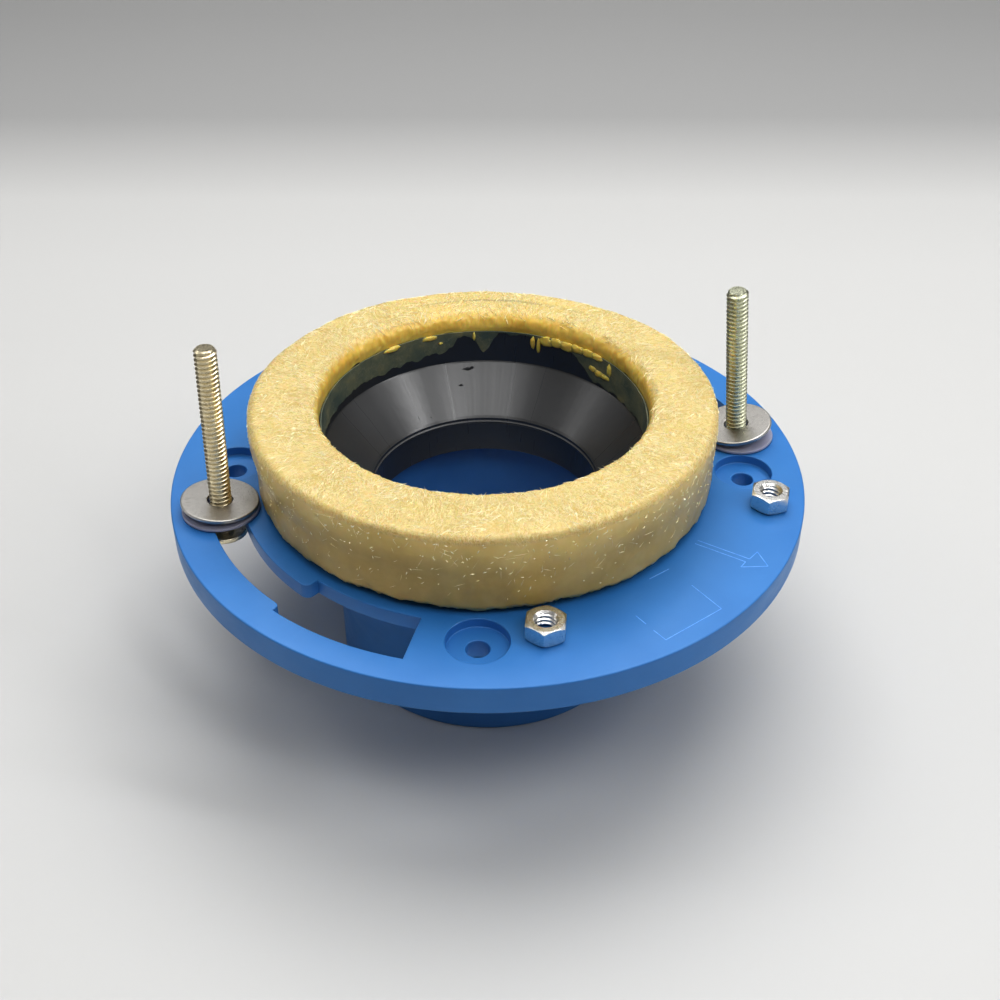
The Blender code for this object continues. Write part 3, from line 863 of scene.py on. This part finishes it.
def make_wax_strokes(wax, material):
    """Crystal strokes on the seal's top, scratches on its side, and loose-edged chips."""
    skin = BVHTree.FromPolygons(
        [v.co for v in wax.data.vertices], [tuple(p.vertices) for p in wax.data.polygons])
    draw = random.Random(7)
    bm = bmesh.new()
    for _ in range(TOP_STROKES):
        azimuth = draw.uniform(0, 360)
        x, y = polar(draw.uniform(46.6, 62.6) * MM, azimuth)
        start = SEAL_CENTRE + Vector((x, y, WAX_TOP + 10 * MM))
        place, normal = skin.ray_cast(start, Vector((0, 0, -1)))[:2]
        turn = azimuth + 190 * noise.noise(Vector((x, y, 0)) * 60) + draw.gauss(0, 24)
        along = outwards(turn)
        along = (along - normal * along.dot(normal)).normalized()
        length, width = draw.uniform(1.2, 5.0) * MM, draw.uniform(0.14, 0.34) * MM
        add_sliver(bm, place, along, normal, length, width, draw.uniform(0.06, 0.18) * MM)
    for i in range(SIDE_SCRATCHES + CHIPS):
        azimuth = draw.uniform(0, 360)
        height = draw.triangular(3.5, 23.4, 23.0) * MM
        out = outwards(azimuth)
        start = SEAL_CENTRE + out * 80 * MM + Vector((0, 0, height))
        place, normal = skin.ray_cast(start, -out)[:2]
        across = Vector((-out.y, out.x, 0))
        turn = draw.gauss(0.9, 0.55) if i % 2 else draw.uniform(0, math.pi)
        along = across * math.cos(turn) + Vector((0, 0, 1)) * math.sin(turn)
        along = (along - normal * along.dot(normal)).normalized()
        if i < SIDE_SCRATCHES:
            size = (draw.uniform(1.2, 5.5) * MM, 0.17 * MM, 0.09 * MM)
        else:
            length, width = draw.uniform(0.4, 1.9) * MM, draw.uniform(0.2, 0.6) * MM
            size = (length, width, draw.uniform(0.12, 0.3) * MM)
        add_sliver(bm, place, along, normal, *size)
    strokes = new_piece("wax_strokes", bm, material, sharp=20, weighted=False)
    settle(strokes, "seal")


# (azimuth, height above the plate) of the lower edge of the wax smeared on the collar
FILM_EDGE = [
    (0, 8.6), (20, 8.5), (40, 8.6), (46, 9.2), (49, 12), (53, 15), (58, 16.4), (66, 17.2), (72, 17.6),
    (80, 17.8), (85, 17.6), (87, 16), (89, 12.5), (91, 11.0), (93, 13.5), (95, 16.2), (98, 17.4),
    (101, 17.0), (103, 14), (107, 12), (120, 11.3), (135, 10.7), (150, 11), (165, 10.4), (180, 9.6),
    (200, 9.5), (225, 11), (250, 13), (270, 12), (300, 14), (330, 10.5), (360, 8.6),
]


def make_film(material):
    """The thin, ragged smear of wax on the inside of the black collar."""
    steps = 720
    rows = 10
    bm = bmesh.new()
    inner, outer = [], []
    azimuths = [entry[0] for entry in FILM_EDGE]
    heights = [entry[1] for entry in FILM_EDGE]
    for j in range(steps):
        azimuth = 360 * j / steps
        base = float(np.interp(azimuth, azimuths, heights)) * MM
        spot = Vector(polar(1.0, azimuth)).to_3d()
        ragged = noise.noise(spot * 14) * 1.3 * MM + noise.noise(spot * 40) * 0.5 * MM
        edge = min(max(base + ragged, 8.35 * MM), 17.9 * MM)
        front, back = [], []
        for k in range(rows):
            t = k / (rows - 1)
            height = 18.5 * MM + (edge - 18.5 * MM) * t
            swell = noise.noise(Vector((*polar(45 * MM, azimuth), height)) * 300) * 0.12 * MM
            thick = (0.34 * MM + swell) * (1 - 0.55 * t ** 3)
            for ring, depth in ((front, max(thick, 0.08 * MM)), (back, 0.02 * MM)):
                radius = COLLAR_RADIUS - depth
                x, y = polar(radius, azimuth)
                ring.append(bm.verts.new((SEAL_CENTRE.x + x, SEAL_CENTRE.y + y, PLATE_TOP + height)))
        inner.append(front)
        outer.append(back)
    for j in range(steps):
        m = (j + 1) % steps
        for k in range(rows - 1):
            bm.faces.new((inner[j][k], inner[m][k], inner[m][k + 1], inner[j][k + 1]))
            bm.faces.new((outer[j][k], outer[j][k + 1], outer[m][k + 1], outer[m][k]))
        bm.faces.new((inner[j][0], outer[j][0], outer[m][0], inner[m][0]))
        bm.faces.new((inner[j][-1], inner[m][-1], outer[m][-1], outer[j][-1]))
    film = new_piece("wax_film", bm, material, sharp=60, weighted=False)
    settle(film, "seal")


# (azimuth, height above the plate, width, drop) of the golden wax on the collar, in mm
COLLAR_WAX = [
    (71.6, 15.9, 1.5, 4.2), (69.2, 15.2, 1.2, 5.2), (66.0, 17.0, 4.4, 3.4), (61.8, 17.4, 5.0, 3.0),
    (57.2, 17.3, 5.4, 3.2), (52.4, 17.6, 5.0, 2.6), (47.6, 17.7, 5.2, 2.6), (44.6, 13.4, 3.4, 2.0),
    (41.6, 12.7, 4.2, 2.2), (38.2, 12.8, 3.8, 1.6), (107.8, 15.6, 1.4, 0.7), (94.6, 16.9, 0.9, 3.0),
    (43.0, 17.8, 4.6, 2.2), (112.0, 17.8, 5.0, 1.6), (128.0, 17.8, 6.0, 1.8), (36.0, 16.0, 2.0, 4.2),
]


def add_lump(bm, centre, axes, sizes, seed):
    """A small uneven blob: a ball stretched along three axes, with a lumpy skin."""
    made = bmesh.ops.create_icosphere(bm, subdivisions=3, radius=1.0)["verts"]
    for vert in made:
        swell = 1 + 0.28 * noise.noise(vert.co * 1.7 + Vector((seed, 2 * seed, 0)))
        reaches = [axis * vert.co[k] * sizes[k] * swell for k, axis in enumerate(axes)]
        vert.co = centre + sum(reaches, Vector())


def make_collar_wax(material):
    """Golden drips and smears of wax that hang from the lip onto the black collar."""
    bm = bmesh.new()
    up = Vector((0, 0, 1))
    for i, (azimuth, height, width, drop) in enumerate(COLLAR_WAX):
        out = outwards(azimuth)
        across = up.cross(out)
        centre = SEAL_CENTRE + out * (COLLAR_RADIUS - 0.25 * MM) + up * height * MM
        add_lump(bm, centre, (out, across, up), (0.62 * MM, width * MM / 2, drop * MM / 2), i)
    lumps = new_piece("collar_wax", bm, material, sharp=70, weighted=False)
    settle(lumps, "seal")


# (azimuth, height above the plate, length along the cone, width) of nubs and scars, in mm
CONE_MARKS = [
    (97.4, 6.3, 4.8, 1.3), (95.6, 6.6, 2.0, 0.9), (101.0, 2.8, 2.4, 0.9),
    (125.3, -2.2, 1.9, 0.25), (119.0, -2.9, 1.8, 0.3),
]


def make_cone_marks(material):
    """A small moulded nub and a few scars on the horn's cone."""
    bm = bmesh.new()
    for azimuth, height, length, width in CONE_MARKS:
        out = outwards(azimuth)
        radius = COLLAR_RADIUS - 0.3 * MM - (CONE_TOP - 0.3 * MM - height * MM)
        place = SEAL_CENTRE + out * radius + Vector((0, 0, height * MM))
        normal = (Vector((0, 0, 1)) - out).normalized()
        along = (out + Vector((0, 0, 1))).normalized()
        if azimuth < 110:
            along = normal.cross(along)
        add_sliver(bm, place, along, normal, length * MM, width * MM, 0.3 * width * MM)
    marks = new_piece("cone_marks", bm, material, sharp=20, weighted=False)
    settle(marks, "seal")


# ---------------------------------------------------------------- fasteners

def add_thread(bm, low, high, crest, root, pitch, tip_radius, columns=40):
    """A threaded rod with chamfered ends, as one helical skin with two caps."""
    flank, valley = (crest + root) / 2, root + 0.04 * MM
    profile = [(0.00, crest), (0.14, crest), (0.30, flank), (0.44, valley), (0.57, root),
               (0.70, valley), (0.85, flank)]
    rows = len(profile)
    turns = math.ceil((high - low) / pitch) + 2
    total = turns * columns
    grid = []
    for i in range(total + 1):
        angle = TAU * i / columns
        line = []
        for fraction, radius in profile:
            z = low - pitch + pitch * (i / columns + fraction)
            z = min(max(z, low), high)
            limit = tip_radius + min(z - low, high - z)
            r = min(radius, limit)
            line.append(bm.verts.new((r * math.cos(angle), r * math.sin(angle), z)))
        grid.append(line)
    for i in range(total):
        for k in range(rows):
            here, ahead = grid[i][k], grid[i + 1][k]
            if k + 1 < rows:
                above, above_ahead = grid[i][k + 1], grid[i + 1][k + 1]
            elif i + 1 + columns <= total:
                above, above_ahead = grid[i + columns][0], grid[i + 1 + columns][0]
            else:
                continue
            bm.faces.new((here, ahead, above_ahead, above))
    bmesh.ops.remove_doubles(bm, verts=bm.verts, dist=1e-7)
    bmesh.ops.dissolve_degenerate(bm, edges=bm.edges, dist=1e-7)
    for z in (low, high):
        rim = [e for e in bm.edges if e.is_boundary and all(abs(v.co.z - z) < 1e-7 for v in e.verts)]
        bmesh.ops.holes_fill(bm, edges=rim, sides=0)


def lean_matrix(axis, place, azimuth=0.0):
    tilt = Vector((0, 0, 1)).rotation_difference(axis).to_matrix().to_4x4()
    return Matrix.Translation(place) @ tilt @ Matrix.Rotation(math.radians(azimuth), 4, "Z")


def node_points(node):
    return [v.co.copy() for v in frame["nodes"][node].data.vertices]


def bolt_place(side):
    """Where a bolt's axis meets the plate's upper face, and its tip's height along it."""
    axis = BOLT_AXES[side]
    points = node_points(f"closet_bolt_{side}")
    reach = max(p.dot(axis) for p in points)
    rim = [p for p in points if reach - p.dot(axis) < 0.05 * MM]
    tip = sum(rim, Vector()) / len(rim)
    foot = tip - axis * ((tip.z - PLATE_TOP) / axis.z)
    return axis, foot, (tip - foot).length


def make_bolt(side, material):
    axis, foot, length = bolt_place(side)
    bm = bmesh.new()
    add_thread(bm, HEAD_TOP - 1.4 * MM, length, BOLT_RADIUS, THREAD_ROOT, THREAD_PITCH, 2.3 * MM)
    bolt = new_piece(f"threaded_bolt_{side}", bm, material, weighted=False)
    radius = HEAD_WIDTH / 2
    reach = HEAD_LENGTH / 2 - radius
    outline = arc((0, reach), radius, 0, 180, 24) + arc((0, -reach), radius, 180, 360, 24)
    low = HEAD_TOP - HEAD_THICKNESS
    below, above = HEAD_ROUND_BELOW, HEAD_ROUND_ABOVE
    edge = arc((-below, low + below), below, -90, 0, 3)
    edge += arc((-above, HEAD_TOP - above), above, 0, 90, 3)
    head = lofted([(offset(outline, spread), height) for spread, height in edge])
    profile = [(NECK_RADIUS, HEAD_TOP - 1.2 * MM), (NECK_RADIUS, HEAD_TOP + 1.4 * MM),
               (NECK_RADIUS - 0.5 * MM, HEAD_TOP + 1.9 * MM)]
    neck = turned(profile, 40, closed=False)
    carve(bolt, [("UNION", head), ("UNION", neck)])
    azimuth = math.degrees(math.atan2(foot.y, foot.x))
    bolt.data.transform(lean_matrix(axis, foot, azimuth))
    finish_shading(bolt, 40)
    settle(bolt, f"bolt_{side}", f"closet_bolt_{side}")


def disc_place(node):
    """The middle and the upward normal of a flat round node."""
    points = np.array([tuple(p) for p in node_points(node)])
    middle = (points.min(axis=0) + points.max(axis=0)) / 2
    spread = np.linalg.svd(points - points.mean(axis=0), full_matrices=False)
    normal = Vector(spread[2][2])
    if normal.z < 0:
        normal.negate()
    radius = np.linalg.norm(points - middle, axis=1).max()
    return Vector(middle), normal, float(radius)


def make_washer(side, material):
    middle, normal, reach = disc_place(f"steel_washer_{side}")
    half = WASHER_THICKNESS / 2
    radius = math.sqrt(reach ** 2 - half ** 2)
    profile = rounded([
        (WASHER_HOLE, -half, 0.1 * MM),
        (radius, -half, 0.16 * MM),
        (radius, half, 0.38 * MM),
        (WASHER_HOLE, half, 0.3 * MM),
    ])
    washer = new_piece(f"washer_{side}", turned(profile, 128), material)
    washer.data.transform(lean_matrix(normal, middle))
    settle(washer, f"washer_{side}", f"steel_washer_{side}")


def make_retainer(side, material):
    low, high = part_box(f"bolt_retainer_{side}")
    middle = (low + high) / 2
    radius = (high.x - low.x) / 2
    profile = rounded([
        (RETAINER_HOLE, 0, 0.1 * MM),
        (radius, 0, 0.2 * MM),
        (radius, RETAINER_THICKNESS, 0.3 * MM),
        (SLEEVE_RADIUS, RETAINER_THICKNESS, 0.2 * MM),
        (SLEEVE_RADIUS, high.z - low.z, 0.2 * MM),
        (RETAINER_HOLE, high.z - low.z, 0.2 * MM),
    ])
    bm = turned(profile, 96, centre=(middle.x, middle.y, low.z))
    retainer = new_piece(f"retainer_{side}", bm, material)
    settle(retainer, f"retainer_{side}", f"bolt_retainer_{side}")


def make_nut(node, body, turn, material):
    low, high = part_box(node)
    corner = NUT_FLATS / 2 / math.cos(math.pi / 6)
    hexagon = [polar(corner, 60 * k) for k in range(6)]
    bm = lofted([(hexagon, 0), (hexagon, NUT_HEIGHT)])
    bmesh.ops.bevel(bm, geom=[e for e in bm.edges if abs(e.verts[0].co.z - e.verts[1].co.z) > 1 * MM],
                    offset=0.16 * MM, segments=3, affect="EDGES", profile=0.5)
    nut = new_piece(f"nut_{node.split('_')[-1]}", bm, material, weighted=False)
    slope = math.tan(math.radians(30))
    rise = (corner + 0.1 * MM - (NUT_FLATS / 2 - 0.25 * MM)) * slope
    profile = [
        (NUT_FLATS / 2 - 0.25 * MM, 0),
        (corner + 0.1 * MM, rise),
        (corner + 0.1 * MM, NUT_HEIGHT - rise),
        (NUT_FLATS / 2 - 0.25 * MM, NUT_HEIGHT),
    ]
    dome = turned(profile, 96, closed=False)
    thread = bmesh.new()
    past = 1.5 * MM
    add_thread(thread, -past, NUT_HEIGHT + past, NUT_GROOVE, NUT_BORE, THREAD_PITCH, 2.4 * MM, columns=48)
    sinks = []
    for outside, inside in ((-0.1 * MM, NUT_CHAMFER), (NUT_HEIGHT + 0.1 * MM, NUT_HEIGHT - NUT_CHAMFER)):
        sink = turned([(NUT_MOUTH, outside), (NUT_BORE - 0.1 * MM, inside)], 64, closed=False)
        sinks.append(("DIFFERENCE", sink))
    carve(nut, [("INTERSECT", dome), ("DIFFERENCE", thread), *sinks])
    nut.data.transform(Matrix.Rotation(math.radians(turn), 4, "Z"))
    nut.data.transform(Matrix.Translation(((low.x + high.x) / 2, (low.y + high.y) / 2, low.z)))
    finish_shading(nut, 28)
    settle(nut, body, node)


# ---------------------------------------------------------------- stage

# In metres: the floor's front and back edges, half its width, the cove and the wall
STAGE_FRONT, STAGE_BACK, STAGE_HALF_WIDTH = -1.2, 1.0, 2.5
COVE_RADIUS, WALL_HEIGHT = 0.5, 2.2


def make_stage():
    """A pale seamless sweep: floor, cove and back wall, painted darker towards the back as painted shade.
    """
    n = Nodes("pale_sweep")
    n.set(Roughness=0.6, Specular_IOR_Level=0.3)
    # Painted shade: the grey darkens towards the back, cove and wall, standing in for the light falling off
    # there.
    depth = n.between(n.part("Y"), 0.24, 0.60)
    grey = n.ramp(depth, [(0.0, (0.57, 0.57, 0.565)), (0.2, (0.55, 0.55, 0.545)), (0.5, 0.37), (1.0, 0.34)])
    n.drive("Base Color", grey)
    bm = bmesh.new()
    cove = arc((STAGE_BACK, COVE_RADIUS), COVE_RADIUS, -90, 0, 16)
    profile = [(STAGE_FRONT, 0.0), *cove, (STAGE_BACK + COVE_RADIUS, WALL_HEIGHT)]
    rows = [[bm.verts.new((x, y, z)) for y, z in profile] for x in (-STAGE_HALF_WIDTH, STAGE_HALF_WIDTH)]
    for i in range(len(profile) - 1):
        bm.faces.new((rows[0][i], rows[1][i], rows[1][i + 1], rows[0][i + 1]))
    sweep = new_piece("sweep", bm, n.material, weighted=False)


# (name, place, size, watts) of the area lights, which all face LIGHT_TARGET
LIGHT_TARGET = (0, 0, 0.06)
LIGHTS = [
    ("overhead", (0.08, 0.46, 1.15), (1.3, 1.0), 15),
    ("over_camera", (0.0, -0.46, 0.80), (0.70, 0.26), 1.7),
    ("right_strip", (1.0, -0.30, 0.90), (0.14, 0.8), 4.2),
    ("front_right_strip", (0.52, -0.66, 0.98), (0.05, 0.4), 1.4),
    ("left_strip", (-1.05, 0.10, 0.60), (0.12, 0.8), 1.1),
]


def add_light(name, place, size, power):
    data = bpy.data.lights.new(name, "AREA")
    data.shape = "RECTANGLE"
    data.size, data.size_y = size
    data.energy = power
    light = bpy.data.objects.new(name, data)
    light.location = place
    towards = Vector(LIGHT_TARGET) - Vector(place)
    light.rotation_euler = towards.to_track_quat("-Z", "Y").to_euler()
    bpy.context.scene.collection.objects.link(light)


# Grey of the world at the ends of its ramp, which runs up and towards the back
WORLD_STOPS = ((0.0, 0.10), (0.95, 0.62))
WORLD_LEAN = 0.55
# Under 1, for the crisp contrast of a studio picture
VIEW_GAMMA = 0.8


def make_lights():
    for light in LIGHTS:
        add_light(*light)
    world = bpy.data.worlds.new("studio")
    bpy.context.scene.world = world
    world.use_nodes = True
    tree = world.node_tree
    background = tree.nodes["Background"]
    where = tree.nodes.new("ShaderNodeTexCoord")
    split = tree.nodes.new("ShaderNodeSeparateXYZ")
    behind = tree.nodes.new("ShaderNodeMath")
    behind.operation = "MULTIPLY_ADD"
    behind.inputs[1].default_value = WORLD_LEAN
    shade = tree.nodes.new("ShaderNodeValToRGB")
    shade.color_ramp.interpolation = "EASE"
    for element, (position, grey) in zip(shade.color_ramp.elements, WORLD_STOPS):
        element.position = position
        element.color = (grey, grey * 0.985, grey * 0.96, 1)
    tree.links.new(where.outputs["Generated"], split.inputs[0])
    tree.links.new(split.outputs["Y"], behind.inputs[0])
    tree.links.new(split.outputs["Z"], behind.inputs[2])
    tree.links.new(behind.outputs[0], shade.inputs["Fac"])
    tree.links.new(shade.outputs["Color"], background.inputs["Color"])
    background.inputs["Strength"].default_value = 1.0
    bpy.context.scene.view_settings.view_transform = "Standard"
    bpy.context.scene.view_settings.gamma = VIEW_GAMMA


CAMERA_PLACE = (0.0034, -0.3176, 0.2870)
CAMERA_TILT = 53.07  # degrees up from straight down
CAMERA_SENSOR, CAMERA_LENS = 36, 49.25


def make_camera():
    data = bpy.data.cameras.new("camera")
    data.sensor_width = CAMERA_SENSOR
    data.lens = CAMERA_LENS
    camera = bpy.data.objects.new("camera", data)
    camera.location = CAMERA_PLACE
    camera.rotation_euler = (math.radians(CAMERA_TILT), 0, 0)
    bpy.context.scene.collection.objects.link(camera)
    bpy.context.scene.camera = camera


def main():
    make_camera()
    make_stage()
    make_lights()
    blue = blue_plastic()
    make_flange(blue)
    make_mould_marks(raised_plastic())
    black = black_plastic()
    make_horn(black)
    make_cone_marks(black)
    amber = wax_material()
    wax = make_wax_ring(amber)
    # Paler strokes whose near-white colour is partly painted glints.
    strokes_with_painted_glints = stroke_material()
    make_wax_strokes(wax, strokes_with_painted_glints)
    make_film(film_material())
    make_collar_wax(amber)
    gold = plated_steel("gold_plating", (0.90, 0.82, 0.62), (0.50, 0.41, 0.23), 0.28)
    silver = plated_steel("silver_plating", (0.76, 0.77, 0.61), (0.34, 0.36, 0.24), 0.28)
    make_bolt("left", gold)
    make_bolt("right", silver)
    steel = plated_steel("washer_steel", (0.53, 0.515, 0.49), (0.38, 0.365, 0.35), 0.33)
    milky = clear_plastic()
    for side in ("left", "right"):
        make_washer(side, steel)
        make_retainer(side, milky)
    zinc = plated_steel("zinc", (0.78, 0.77, 0.75), (0.56, 0.56, 0.55), 0.27)
    make_nut("hex_nut_front", "nut_front", 24, zinc)
    make_nut("hex_nut_right", "nut_right", 17, zinc)


main()
